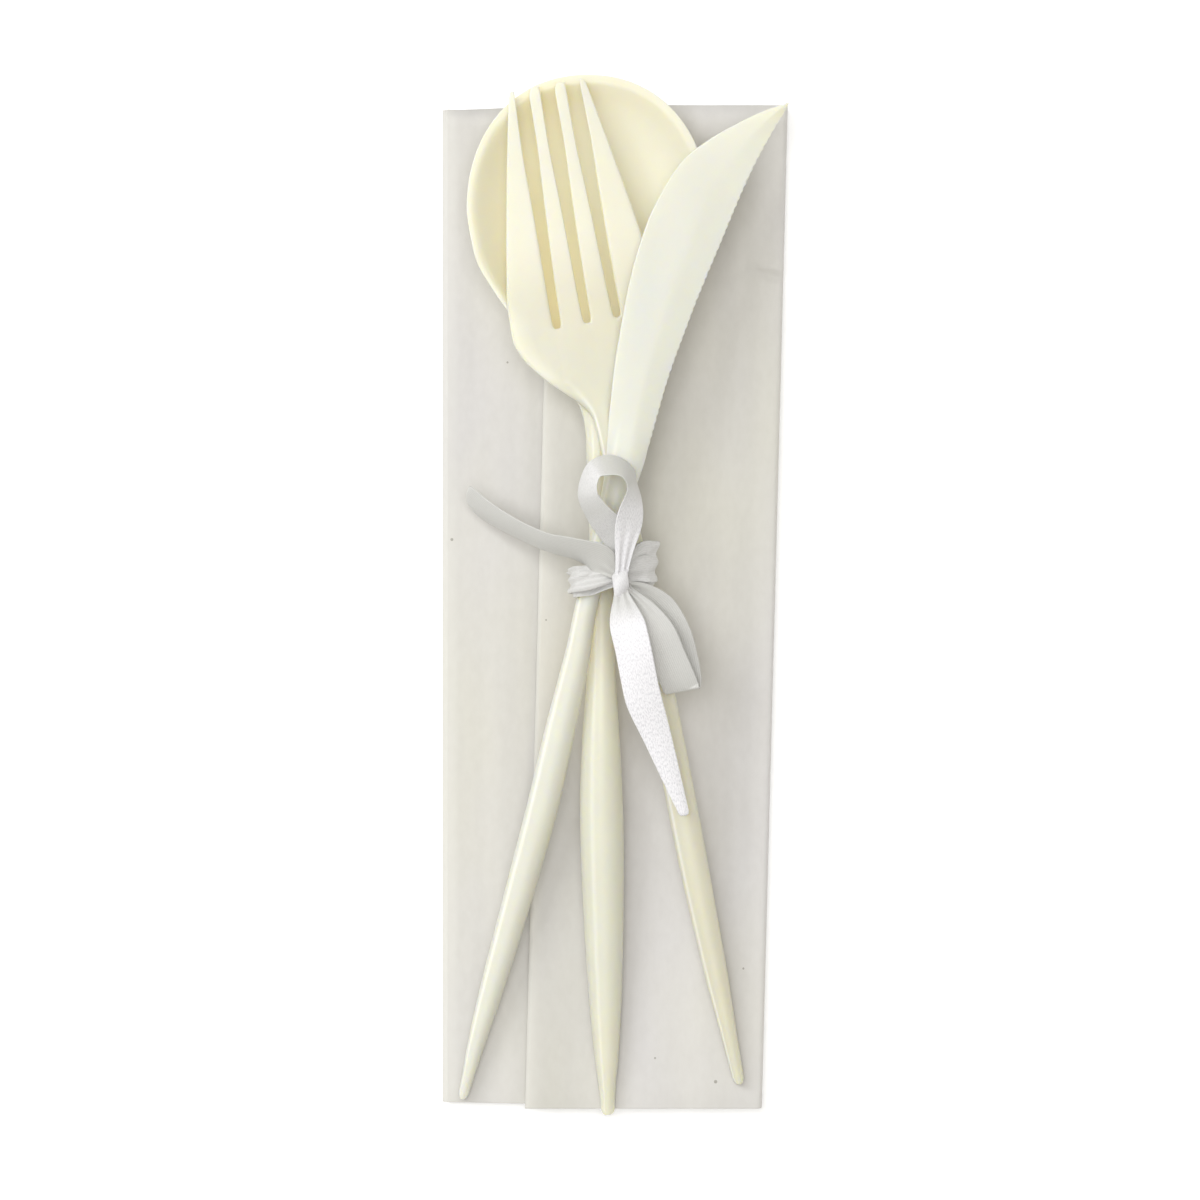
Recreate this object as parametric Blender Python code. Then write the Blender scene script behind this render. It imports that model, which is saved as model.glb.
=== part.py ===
"""Disposable cutlery pack: a folded paper napkin, a moulded spoon, fork and knife, and the ribbon that
ties their shanks together. Metres, +Z up. The napkin lies on Z = 0 and the heads point along +Y."""

import math

import bmesh
import bpy
import numpy as np
from mathutils import Matrix, Vector

MM = 0.001

# Napkin: a 300 x 330 mm sheet folded in four, then in a Z with a short top flap.
SHEET_THICK = 0.8 * MM  # four layers of tissue pressed together
SHEET_GAP = 0.2 * MM
NAPKIN_LEFT = -28.6 * MM
NAPKIN_RIGHT = (24.3 * MM, 28.6 * MM)  # right fold at the handle end and at the head end
NAPKIN_NEAR = (-83.4 * MM, -84.4 * MM)  # handle end, at the left fold and at the right fold
NAPKIN_FAR = (80.8 * MM, 81.1 * MM)  # head end, at the left fold and at the right fold
FLAP_WIDTH = 39.2 * MM

# Each utensil is drawn along its own +Y from the tip of its handle, then turned and moved into place.
SPOON_LENGTH = 171.5 * MM
SPOON_TIP = (-1.2 * MM, -85.7 * MM)
SPOON_TURN = math.radians(1.26)
FORK_LENGTH = 167.6 * MM
FORK_TIP = (20.6 * MM, -80.6 * MM)
FORK_TURN = math.radians(10.97)
KNIFE_LENGTH = 172.3 * MM
KNIFE_TIP = (-25.0 * MM, -83.2 * MM)
KNIFE_TURN = math.radians(-15.0)
WALL = 1.2 * MM  # wall of the hollow handles and of the bowl

# Ribbon
RIBBON_WIDE = 6.0 * MM
RIBBON_THICK = 0.4 * MM
TIE_Y = 3.2 * MM  # where the ribbon goes round the shanks
TIE_WIDE = 4.6 * MM
PINCHED = 0.4  # share of the width where the ribbon goes into its knot
PINCH_REACH = 0.2  # share of a loop or tail over which it widens again

CREAM = (0.86, 0.83, 0.64)
PAPER = (0.80, 0.78, 0.73)
SATIN = (0.90, 0.90, 0.90)


def clear_scene():
    for obj in list(bpy.data.objects):
        bpy.data.objects.remove(obj, do_unlink=True)


def material(name, colour, roughness):
    made = bpy.data.materials.new(name)
    made.use_nodes = True
    shader = made.node_tree.nodes["Principled BSDF"]
    shader.inputs["Base Color"].default_value = (*colour, 1.0)
    shader.inputs["Roughness"].default_value = roughness
    shader.inputs["Metallic"].default_value = 0.0
    return made


def add_object(name, points, faces, finish):
    mesh = bpy.data.meshes.new(name)
    mesh.from_pydata([tuple(point) for point in points], [], faces)
    outward = bmesh.new()
    outward.from_mesh(mesh)
    bmesh.ops.recalc_face_normals(outward, faces=outward.faces)
    outward.to_mesh(mesh)
    outward.free()
    mesh.materials.append(finish)
    mesh.shade_smooth()
    mesh.set_sharp_from_angle(angle=math.radians(35))
    obj = bpy.data.objects.new(name, mesh)
    bpy.context.scene.collection.objects.link(obj)
    return obj


def smooth(keys, at):
    """A smooth value through (place, value) keys in millimetres, read at a place in metres."""
    places = [place * MM for place, _ in keys]
    values = [value * MM for _, value in keys]
    if at <= places[0]:
        return values[0]
    if at >= places[-1]:
        return values[-1]
    i = next(k for k in range(len(places) - 1) if at <= places[k + 1])
    slopes = [(values[k + 1] - values[k]) / (places[k + 1] - places[k]) for k in range(len(places) - 1)]

    def tangent(k):
        before = slopes[max(k - 1, 0)]
        after = slopes[min(k, len(slopes) - 1)]
        return 0.0 if before * after <= 0 else 2 * before * after / (before + after)

    span = places[i + 1] - places[i]
    t = (at - places[i]) / span
    rise = values[i] * (2 * t**3 - 3 * t**2 + 1) + values[i + 1] * (3 * t**2 - 2 * t**3)
    return rise + span * (tangent(i) * (t**3 - 2 * t**2 + t) + tangent(i + 1) * (t**3 - t**2))


def round_end(distance, radius):
    """How far a rounded end has opened, from 0 at its tip to 1 a radius along."""
    if distance >= radius:
        return 1.0
    return math.sqrt(max(0.0, 1 - (1 - distance / radius) ** 2))


def closed_plate(tops, unders, quads):
    """Points and faces of a solid between two copies of one open quad mesh."""
    count = len(tops)
    faces = [tuple(quad) for quad in quads]
    faces += [tuple(count + corner for corner in reversed(quad)) for quad in quads]
    edges = {}
    for quad in quads:
        for a, b in zip(quad, quad[1:] + quad[:1]):
            edges[(a, b)] = True
    for a, b in edges:
        if (b, a) not in edges:
            faces.append((b, a, count + a, count + b))
    return tops + unders, faces


def grid_quads(rows, columns, keep=lambda row, column: True):
    """Quads of a grid whose points run along each row, facing up when rows go +Y and columns go +X."""
    quads = []
    for row in range(rows - 1):
        for column in range(columns - 1):
            if keep(row, column):
                first = row * columns + column
                quads.append([first, first + 1, first + columns + 1, first + columns])
    return quads


def place(points, tip, turn):
    """Points of a utensil moved from its own frame to where it lies."""
    move = Matrix.Translation((tip[0], tip[1], 0)) @ Matrix.Rotation(turn, 4, "Z")
    return [move @ Vector(point) for point in points]


def spread(first, last, count):
    return [first + (last - first) * i / (count - 1) for i in range(count)]


# --- handles, shared by the three utensils ---


def handle_section(side, half, base, height):
    """Top and underside points across a handle: domed above, hollow below where it is wide enough."""
    angle = side * math.pi / 2
    across = math.sin(angle)
    dome = max(math.cos(angle), 0.0)
    inner_half = max(half - WALL, 0.72 * half)
    hollow = max(height - WALL, 0.0) * min(1.0, max(0.0, (half - 2.0 * MM) / (0.8 * MM)))
    top = (half * across, base + height * dome)
    under = (inner_half * across, base + hollow * dome)
    return top, under


# --- spoon ---

SPOON_HALF = ((0, 1.15), (3, 1.25), (9.5, 1.95), (19.4, 2.7), (33, 3.3), (47.4, 3.6), (58, 3.35),
              (66, 2.85), (74, 2.3), (86, 1.95), (102, 1.85), (110, 2.0))
SPOON_BASE = ((0, 3.3), (20, 4.2), (47, 5.8), (70, 7.0), (90, 7.7), (104, 8.0), (112, 8.2))
SPOON_HEIGHT = ((0, 1.4), (10, 2.6), (20, 3.3), (47, 4.0), (70, 3.3), (90, 2.8), (112, 2.4))
SPOON_BOW = ((0, 0), (50, 0.05), (95, 0.9), (130, 0.6), (150, 0), (172, 0))
SPOON_RIM = ((112, 10.6), (125, 11.0), (150, 11.0), (171.5, 9.9))
NECK_S = 110 * MM
BOWL_WIDEST_S = 149 * MM
BOWL_HALF = 19.9 * MM
BOWL_DEPTH = 6.2 * MM
BOWL_BACK = ((110, 1.9), (114, 2.1), (117, 2.8), (120, 4.9), (124, 8.1), (130, 12.0), (136, 16.0),
             (142, 18.9), (149, 19.9))
BOWL_FLOOR = ((110, 0), (114, 0.2), (120, 1.6), (130, 4.6), (140, 6.0), (149, 6.2))
RIM_SHARE = 0.94  # where the flat rim ends, as a share of the way out


def bowl_half(s):
    if s <= BOWL_WIDEST_S:
        return smooth(BOWL_BACK, s)
    forward = (s - BOWL_WIDEST_S) / (SPOON_LENGTH - BOWL_WIDEST_S)
    return BOWL_HALF * max(0.0, 1 - forward**2.15) ** (1 / 2.15)


def bowl_section(side, s):
    """Inside and outside points across the bowl: a flat rim, then a smooth hollow."""
    half = bowl_half(s)
    x = half * math.sin(side * math.pi / 2)
    rim = smooth(SPOON_RIM, s)
    if s <= BOWL_WIDEST_S:
        out = abs(x) / half
        depth = smooth(BOWL_FLOOR, s)
    else:
        forward = (s - BOWL_WIDEST_S) / (SPOON_LENGTH - BOWL_WIDEST_S)
        out = ((abs(x) / BOWL_HALF) ** 2.15 + forward**2.15) ** (1 / 2.15)
        depth = BOWL_DEPTH
    inside = depth * max(0.0, 1 - (out / RIM_SHARE) ** 2.3)
    outside = depth * max(0.0, 1 - out**2.6)
    return (x, rim - inside), (x, rim - WALL - outside)


def spoon_stations(handle_rows, back_rows, front_rows):
    handle = [0.15 * MM, 0.5 * MM, 1.2 * MM] + spread(3 * MM, NECK_S, handle_rows)
    back = spread(NECK_S, BOWL_WIDEST_S, back_rows)[1:]
    front = []
    for i in range(1, front_rows + 1):
        front.append(math.sin(0.495 * math.pi * i / front_rows))
    reach = SPOON_LENGTH - BOWL_WIDEST_S
    return handle + back + [BOWL_WIDEST_S + reach * share for share in front]


def spoon_shape(handle_rows, back_rows, front_rows, columns):
    stations = spoon_stations(handle_rows, back_rows, front_rows)
    sides = spread(-1, 1, columns)
    tops = []
    unders = []
    for s in stations:
        bow = smooth(SPOON_BOW, s)
        blend = min(1.0, max(0.0, (s - NECK_S) / (9 * MM)))
        blend = blend * blend * (3 - 2 * blend)
        for side in sides:
            half = smooth(SPOON_HALF, s) * round_end(s, 1.3 * MM)
            top, under = handle_section(side, half, smooth(SPOON_BASE, s), smooth(SPOON_HEIGHT, s))
            if blend > 0:
                bowl_top, bowl_under = bowl_section(side, s)
                share = bowl_half(s) / half
                top = (bowl_top[0], top[1] + (bowl_top[1] - top[1]) * blend)
                under_x = under[0] * share * (1 - blend) + bowl_under[0] * blend
                under = (under_x, under[1] + (bowl_under[1] - under[1]) * blend)
            tops.append((top[0] + bow, s, top[1]))
            unders.append((under[0] + bow, s, under[1]))
    return closed_plate(tops, unders, grid_quads(len(stations), columns))


def make_spoon(finish):
    points, faces = spoon_shape(handle_rows=20, back_rows=12, front_rows=10, columns=15)
    add_object("spoon", place(points, SPOON_TIP, SPOON_TURN), faces, finish)


# --- fork ---

FORK_HALF = ((0, 0.9), (3, 1.05), (10, 1.4), (20, 1.95), (45, 2.45), (62, 2.4), (80, 2.0), (95, 1.9),
             (110, 1.9), (113, 2.3), (115, 3.6), (118, 6.6), (121, 9.3), (124, 11.4), (127.5, 12.6),
             (132, 12.5), (140, 11.4), (150, 9.7), (160, 7.8), (167.6, 6.3))
FORK_BASE = ((0, 3.3), (20, 4.6), (50, 7.2), (80, 9.8), (100, 11.1), (112, 11.5), (130, 11.5), (150, 10.8),
             (167.6, 10.9))
FORK_HEIGHT = ((0, 1.4), (10, 2.4), (20, 3.0), (45, 3.3), (70, 2.8), (95, 2.3), (112, 2.1), (120, 1.9),
               (150, 1.8), (167.6, 1.3))
FORK_BOW = ((0, 0), (10, -0.2), (40, -0.6), (87, -0.6), (128, -0.8), (150, -0.4), (167.6, 0))
SLOT_ROOT_S = 128.6 * MM
SLOT_SPACING = ((128, 5.0), (167.6, 4.25))
SLOT_HALF = ((128, 0.62), (138, 0.75), (150, 1.0), (158, 1.25), (167.6, 1.15))
PALM_START_S = 112 * MM
TINE_COLUMNS = 3  # points across each tine and each slot


def fork_columns(s, half):
    """Places across the head at a station: four tines with three slots between them."""
    spacing = smooth(SLOT_SPACING, s)
    slot = smooth(SLOT_HALF, s)
    edges = [-half, -spacing - slot, -spacing + slot, -slot, slot, spacing - slot, spacing + slot, half]
    places = []
    for left, right in zip(edges, edges[1:]):
        places += spread(left, right, TINE_COLUMNS)[:-1]
    return places + [half]


def fork_shape(handle_rows, palm_rows, tine_rows):
    handle = [0.15 * MM, 0.5 * MM, 1.2 * MM] + spread(3 * MM, PALM_START_S, handle_rows)
    palm = spread(PALM_START_S, SLOT_ROOT_S, palm_rows)[1:]
    tines = spread(SLOT_ROOT_S, FORK_LENGTH, tine_rows)[1:]
    stations = handle + palm + tines
    root_row = len(handle) + len(palm) - 1
    columns = 7 * (TINE_COLUMNS - 1) + 1
    sides = spread(-1, 1, columns)
    tops = []
    unders = []
    for s in stations:
        bow = smooth(FORK_BOW, s)
        half = smooth(FORK_HALF, s) * round_end(s, 1.3 * MM)
        base = smooth(FORK_BASE, s)
        height = smooth(FORK_HEIGHT, s)
        blend = min(1.0, max(0.0, (s - PALM_START_S) / (8 * MM)))
        across = fork_columns(max(s, SLOT_ROOT_S), half)
        for i, side in enumerate(sides):
            top, under = handle_section(side, half, base, height)
            head_x = across[i] if half > 7 * MM or s > SLOT_ROOT_S else half * side
            x = top[0] * (1 - blend) + head_x * blend
            crown = 0.25 * math.cos(side * math.pi / 2) * height
            head_top = base + height * 0.8 + crown
            tops.append((x + bow, s, top[1] * (1 - blend) + head_top * blend))
            under_x = under[0] * (1 - blend) + head_x * blend
            unders.append((under_x + bow, s, under[1] * (1 - blend) + base * blend))

    def is_solid(row, column):
        block = column // (TINE_COLUMNS - 1)
        return row < root_row or block % 2 == 0

    return closed_plate(tops, unders, grid_quads(len(stations), columns, is_solid))


def make_fork(finish):
    points, faces = fork_shape(handle_rows=20, palm_rows=8, tine_rows=10)
    add_object("fork", place(points, FORK_TIP, FORK_TURN), faces, finish)


# --- knife ---

KNIFE_LEFT = ((0, -1.1), (3, -1.3), (10, -1.9), (20, -2.3), (50, -2.6), (65, -3.0), (76, -3.0), (84, -3.4),
              (95, -3.6), (105, -4.2), (115, -6.0), (126, -7.6), (140, -8.55), (147, -8.25), (153.6, -7.0),
              (158.7, -5.2), (163.6, -1.5), (167, 2.0), (170, 5.5), (172.3, 8.9))
KNIFE_RIGHT = ((0, 0.5), (3, 0.6), (10, 1.0), (20, 1.7), (35, 2.3), (50, 2.6), (65, 1.9), (76, 1.2),
               (84, 0.3), (95, 0.1), (105, 1.2), (110, 1.6), (121, 1.7), (133, 2.6), (149, 4.6), (160, 6.2),
               (172.3, 9.2))
KNIFE_BASE = ((0, 2.3), (20, 3.9), (50, 7.1), (75, 10.1), (88, 11.6), (100, 13.2), (112, 14.4), (130, 14.3),
              (150, 13.0), (172.3, 11.9))
KNIFE_HEIGHT = ((0, 1.4), (10, 2.3), (20, 2.9), (50, 3.3), (75, 2.7), (95, 2.3), (108, 2.1), (118, 1.7),
                (150, 1.6), (172.3, 1.2))
BLADE_START_S = 104 * MM
TEETH_START_S = 112 * MM
TOOTH_PITCH = 1.5 * MM
TOOTH_DEPTH = 0.25 * MM
EDGE_THICK = 0.5 * MM


def knife_stations(handle_rows, steps_per_tooth):
    handle = [0.15 * MM, 0.5 * MM, 1.2 * MM] + spread(3 * MM, TEETH_START_S, handle_rows)
    teeth = int((KNIFE_LENGTH - TEETH_START_S) / TOOTH_PITCH)
    count = teeth * steps_per_tooth
    return handle + spread(TEETH_START_S, KNIFE_LENGTH, count + 1)[1:]


def tooth(s):
    """How far the cutting edge steps in at this station."""
    if s < TEETH_START_S:
        return 0.0
    phase = ((s - TEETH_START_S) / TOOTH_PITCH) % 1.0
    return TOOTH_DEPTH * abs(2 * phase - 1)


def knife_shape(handle_rows, steps_per_tooth, columns):
    stations = knife_stations(handle_rows, steps_per_tooth)
    sides = spread(-1, 1, columns)
    tops = []
    unders = []
    for s in stations:
        left = smooth(KNIFE_LEFT, s)
        right = smooth(KNIFE_RIGHT, s)
        middle = (left + right) / 2
        half = (right - left) / 2 * round_end(s, 1.3 * MM)
        base = smooth(KNIFE_BASE, s)
        height = smooth(KNIFE_HEIGHT, s)
        blend = min(1.0, max(0.0, (s - BLADE_START_S) / (12 * MM)))
        inset = tooth(s) if half > 1.0 * MM else 0.0
        for side in sides:
            top, under = handle_section(side, half, base, height)
            ground = max(0.0, (side - 0.2) / 0.8)
            flat = half * side - inset * max(0.0, side)
            blade_top = base + height - (height - EDGE_THICK) * 0.5 * ground
            blade_under = base + (height - EDGE_THICK) * 0.5 * ground
            top_x = top[0] * (1 - blend) + flat * blend
            under_x = under[0] * (1 - blend) + flat * blend
            tops.append((middle + top_x, s, top[1] * (1 - blend) + blade_top * blend))
            unders.append((middle + under_x, s, under[1] * (1 - blend) + blade_under * blend))
    return closed_plate(tops, unders, grid_quads(len(stations), columns))


def make_knife(finish):
    points, faces = knife_shape(handle_rows=26, steps_per_tooth=2, columns=9)
    add_object("knife", place(points, KNIFE_TIP, KNIFE_TURN), faces, finish)


# --- napkin ---


def arc(centre_x, centre_z, radius, start, end, steps):
    turns = spread(math.radians(start), math.radians(end), steps)
    return [(centre_x + radius * math.cos(turn), centre_z + radius * math.sin(turn)) for turn in turns]


def napkin_section(right, flap_edge, steps=7):
    """Outline of the Z fold in XZ: bottom panel, left fold, middle panel, right fold and top flap."""
    thick = SHEET_THICK
    pitch = SHEET_THICK + SHEET_GAP
    fold_in = SHEET_GAP / 2
    fold_out = fold_in + thick
    left_x = NAPKIN_LEFT + fold_out
    right_x = right - fold_out
    hem = right - 2.0 * MM
    outline = [(hem, thick), (hem, 0.0)]
    outline += arc(left_x, fold_out, fold_out, 270, 90, steps)
    outline += arc(right_x, pitch + fold_out, fold_in, -90, 90, steps)
    outline += [(flap_edge, 2 * pitch), (flap_edge, 2 * pitch + thick)]
    outline += arc(right_x, pitch + fold_out, fold_out, 90, -90, steps)
    outline += arc(left_x, fold_out, fold_in, 90, 270, steps)
    return outline


def napkin_y(ends, x, right):
    share = (x - NAPKIN_LEFT) / (right - NAPKIN_LEFT)
    return ends[0] + (ends[1] - ends[0]) * share


def make_napkin(finish):
    points = []
    for right, ends in zip(NAPKIN_RIGHT, (NAPKIN_NEAR, NAPKIN_FAR)):
        for x, z in napkin_section(right, right - FLAP_WIDTH):
            points.append((x, napkin_y(ends, x, right), z))
    count = len(points) // 2
    faces = [tuple(reversed(range(count))), tuple(range(count, 2 * count))]
    for i in range(count):
        after = (i + 1) % count
        faces.append((i, after, count + after, count + i))
    add_object("napkin", points, faces, finish)


# --- ribbon ---


def through(points, count):
    """A smooth open curve through a few points, as evenly stepped points."""
    points = np.array(points, float) * MM
    padded = np.vstack([2 * points[0] - points[1], points, 2 * points[-1] - points[-2]])
    made = []
    for place_on in spread(0, len(points) - 1, count):
        i = min(int(place_on), len(points) - 2)
        t = place_on - i
        a, b, c, d = padded[i:i + 4]
        made.append(0.5 * (2 * b + (c - a) * t + (2 * a - 5 * b + 4 * c - d) * t**2
                           + (3 * b - a - 3 * c + d) * t**3))
    return np.array(made)


def pinch(t, ends):
    """The share of the ribbon's width left at t, from 0 to 1 along it: its pinched ends go into the knot."""
    room = min(t if ends[0] else 1.0, 1 - t if ends[1] else 1.0) / PINCH_REACH
    room = min(1.0, room)
    return PINCHED + (1 - PINCHED) * room * room * (3 - 2 * room)


def strip_shape(route, lean, count, ends):
    """A flat ribbon along a route, with its width turned to each point's lean, as rings of four."""
    centres = through(route, count)
    leans = through(lean, count)
    points = []
    for i, centre in enumerate(centres):
        along = centres[min(i + 1, count - 1)] - centres[max(i - 1, 0)]
        along /= np.linalg.norm(along)
        width = leans[i] - along * np.dot(leans[i], along)
        width /= np.linalg.norm(width)
        half_thick = np.cross(along, width) * RIBBON_THICK / 2
        half_wide = width * RIBBON_WIDE / 2 * pinch(i / (count - 1), ends)
        points.append(centre - half_wide - half_thick)
        points.append(centre + half_wide - half_thick)
        points.append(centre + half_wide + half_thick)
        points.append(centre - half_wide + half_thick)
    faces = [(3, 2, 1, 0), tuple(4 * (count - 1) + k for k in range(4))]
    for i in range(count - 1):
        for k in range(4):
            a = 4 * i + k
            b = 4 * i + (k + 1) % 4
            faces.append((a, b, b + 4, a + 4))
    return points, faces


def hull(points):
    """Corners of the convex outline round flat points, anticlockwise."""
    ordered = sorted(points)
    outline = []
    for way in (ordered, ordered[::-1]):
        side = []
        for point in way:
            while len(side) > 1 and cross(side[-2], side[-1], point) <= 0:
                side.pop()
            side.append(point)
        outline += side[:-1]
    return outline


def cross(a, b, c):
    return (b[0] - a[0]) * (c[1] - a[1]) - (b[1] - a[1]) * (c[0] - a[0])


def shank_points(tip, turn, length_to_tie, section):
    """Corners of one shank in XZ where it passes the tie."""
    points = []
    for x, z in section:
        spot = place([(x, length_to_tie, z)], tip, turn)[0]
        points.append((spot.x, spot.z))
    return points


def box_section(left, right, base, height):
    return [(left, base), (right, base), (right, base + height), (left, base + height)]


def tie_outline(clearance, steps=5):
    """The closed outline of the tie in XZ: the hull of the three shanks, kept a little clear of them."""
    spots = []
    s = (TIE_Y - SPOON_TIP[1]) / math.cos(SPOON_TURN)
    half = smooth(SPOON_HALF, s)
    bow = smooth(SPOON_BOW, s)
    section = box_section(bow - half, bow + half, smooth(SPOON_BASE, s), smooth(SPOON_HEIGHT, s))
    spots += shank_points(SPOON_TIP, SPOON_TURN, s, section)
    s = (TIE_Y - FORK_TIP[1]) / math.cos(FORK_TURN)
    half = smooth(FORK_HALF, s)
    bow = smooth(FORK_BOW, s)
    section = box_section(bow - half, bow + half, smooth(FORK_BASE, s), smooth(FORK_HEIGHT, s))
    spots += shank_points(FORK_TIP, FORK_TURN, s, section)
    s = (TIE_Y - KNIFE_TIP[1]) / math.cos(KNIFE_TURN)
    section = box_section(smooth(KNIFE_LEFT, s), smooth(KNIFE_RIGHT, s), smooth(KNIFE_BASE, s),
                          smooth(KNIFE_HEIGHT, s))
    spots += shank_points(KNIFE_TIP, KNIFE_TURN, s, section)
    rounded = []
    for x, z in spots:
        for i in range(4 * steps):
            turn = 2 * math.pi * i / (4 * steps)
            rounded.append((x + clearance * math.cos(turn), z + clearance * math.sin(turn)))
    return hull(rounded)


def tie_shape():
    """The band round the shanks, as a closed ring with a flat section."""
    inner = tie_outline(0.8 * MM)
    middle_x = sum(x for x, _ in inner) / len(inner)
    middle_z = sum(z for _, z in inner) / len(inner)
    points = []
    for x, z in inner:
        out = Vector((x - middle_x, z - middle_z)).normalized() * 2 * RIBBON_THICK
        for y, grow in ((-0.5, 0), (0.5, 0), (0.5, 1), (-0.5, 1)):
            points.append((x + out.x * grow, TIE_Y + y * TIE_WIDE, z + out.y * grow))
    count = len(inner)
    faces = []
    for i in range(count):
        j = (i + 1) % count
        for k in range(4):
            m = (k + 1) % 4
            faces.append((4 * i + k, 4 * j + k, 4 * j + m, 4 * i + m))
    return points, faces


# Routes in millimetres, from the knot outwards, and the way the ribbon's width points along them.
KNOT = (0.6, 2.6, 15.4)
KNOT_SIZE = (2.4 * MM, 2.8 * MM, 2.0 * MM)
RING_LOOP = ((0.2, 3.0, 14.8), (-1.7, 8.0, 16.4), (-3.9, 12.6, 18.4), (-5.0, 16.8, 19.4), (-3.4, 20.4, 19.7),
             (0.2, 21.5, 19.7), (3.1, 19.0, 19.6), (3.1, 14.6, 19.4), (1.9, 9.6, 18.8), (0.9, 3.0, 16.2))
RING_LEAN = ((1, 0, 0.3), (0.9, 0.2, 0.7), (0.7, 0.4, 1.3), (0.9, 0, 1.4), (0.5, -0.7, 1.4),
             (-0.1, -0.9, 1.4), (-0.8, -0.3, 1.4), (-1.1, 0, 1.0), (-1.2, 0, 0.3), (-1, 0, 0.2))
SIDE_LOOP = ((1.4, 1.4, 16.2), (4.4, -1.8, 16.6), (6.9, -6.0, 16.4), (8.7, -10.2, 15.7), (10.2, -13.6, 14.9),
             (11.0, -15.3, 13.9), (11.2, -13.8, 12.9), (10.6, -10.2, 12.9), (9.4, -6.0, 13.4),
             (7.2, -2.2, 13.9), (4.2, 0.6, 14.6), (1.4, 1.8, 15.2))
SIDE_LEAN = ((1, 0.8, 0), (1, 0.7, 0), (1, 0.55, 0.1), (1, 0.45, 0.15), (1, 0.3, 0.15), (1, 0.2, 0.15),
             (1, 0.25, 0.1), (1, 0.3, 0), (1, 0.45, 0), (1, 0.8, 0), (1, 1.1, 0), (1, 1.0, 0))
LEFT_TAIL = ((1.0, 3.2, 16.0), (-2.4, 6.0, 16.9), (-6.6, 7.6, 16.2), (-10.8, 8.6, 14.0), (-15.2, 10.5, 11.2),
             (-20.0, 13.2, 8.4), (-24.6, 16.4, 6.4))
LEFT_LEAN = ((0.4, 1, 0.2), (0.4, 1, 0.7), (0.25, 0.95, 1.5), (0.25, 0.9, 1.9), (0.35, 0.8, 1.9),
             (0.35, 0.8, 1.6), (0.4, 0.8, 1.2))
FRONT_TAIL = ((0.7, 2.0, 16.8), (1.5, -2.6, 18.2), (2.9, -8.6, 18.4), (4.3, -15.6, 17.3), (6.3, -23.4, 15.2),
              (9.3, -36.4, 12.6))
FRONT_LEAN = ((1, 0.2, 0), (1, 0.2, 0.1), (1, 0.2, 0.15), (1, 0.3, 0.1), (1, 0.35, 0.05), (1, 0.35, 0))


def knot_shape(columns=12, rows=7):
    """A small rounded knot."""
    points = [(KNOT[0] * MM, KNOT[1] * MM, KNOT[2] * MM - KNOT_SIZE[2])]
    for row in range(1, rows):
        tilt = -math.pi / 2 + math.pi * row / rows
        for column in range(columns):
            turn = 2 * math.pi * column / columns
            reach = (math.cos(tilt) * math.cos(turn), math.cos(tilt) * math.sin(turn), math.sin(tilt))
            points.append(tuple(KNOT[k] * MM + KNOT_SIZE[k] * reach[k] for k in range(3)))
    points.append((KNOT[0] * MM, KNOT[1] * MM, KNOT[2] * MM + KNOT_SIZE[2]))
    last = len(points) - 1
    faces = []
    for column in range(columns):
        after = (column + 1) % columns
        faces.append((0, 1 + after, 1 + column))
        faces.append((last, last - columns + column, last - columns + after))
        for row in range(rows - 2):
            a = 1 + row * columns + column
            b = 1 + row * columns + after
            faces.append((a, b, b + columns, a + columns))
    return points, faces


def make_ribbon(finish):
    points, faces = tie_shape()
    ribbon = add_object("ribbon", points, faces, finish)
    shapes = {
        "knot": knot_shape(),
        "ring_loop": strip_shape(RING_LOOP, RING_LEAN, 34, (True, True)),
        "side_loop": strip_shape(SIDE_LOOP, SIDE_LEAN, 34, (True, True)),
        "left_tail": strip_shape(LEFT_TAIL, LEFT_LEAN, 14, (True, False)),
        "front_tail": strip_shape(FRONT_TAIL, FRONT_LEAN, 14, (True, False)),
    }
    for name, (points, faces) in shapes.items():
        joined = add_object(name, points, faces, finish)
        joined.hide_render = True
        joined.display_type = "WIRE"
        union = ribbon.modifiers.new(name, "BOOLEAN")
        union.operation = "UNION"
        union.object = joined


clear_scene()
cream = material("cream_plastic", CREAM, 0.35)
make_napkin(material("napkin_tissue", PAPER, 0.95))
make_spoon(cream)
make_fork(cream)
make_knife(cream)
make_ribbon(material("white_satin", SATIN, 0.45))
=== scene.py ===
"""The look of the cutlery pack: folded tissue napkin, moulded cream spoon, fork and knife, satin ribbon.

Every piece is made again here as a finer mesh in the place of its CAD node. Sizes are in metres, and the
tables of sizes are in millimetres and go through MM.
"""

import math

import bmesh
import bpy
import numpy as np
from mathutils import Matrix, Vector


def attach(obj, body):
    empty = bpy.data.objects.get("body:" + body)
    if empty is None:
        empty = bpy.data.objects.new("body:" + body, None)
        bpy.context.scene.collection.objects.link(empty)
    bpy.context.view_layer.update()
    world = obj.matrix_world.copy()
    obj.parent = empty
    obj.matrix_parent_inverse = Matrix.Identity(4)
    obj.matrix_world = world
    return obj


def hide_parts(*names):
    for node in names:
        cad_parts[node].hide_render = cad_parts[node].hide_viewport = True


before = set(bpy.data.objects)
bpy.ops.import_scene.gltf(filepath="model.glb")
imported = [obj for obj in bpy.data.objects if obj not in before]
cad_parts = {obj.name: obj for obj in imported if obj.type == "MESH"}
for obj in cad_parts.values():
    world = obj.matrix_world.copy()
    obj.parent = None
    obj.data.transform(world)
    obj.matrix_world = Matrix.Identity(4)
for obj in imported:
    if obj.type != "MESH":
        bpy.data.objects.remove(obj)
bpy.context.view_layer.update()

MM = 0.001


# --- helpers for shapes ---


def spread(first, last, count):
    return [first + (last - first) * i / (count - 1) for i in range(count)]


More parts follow.
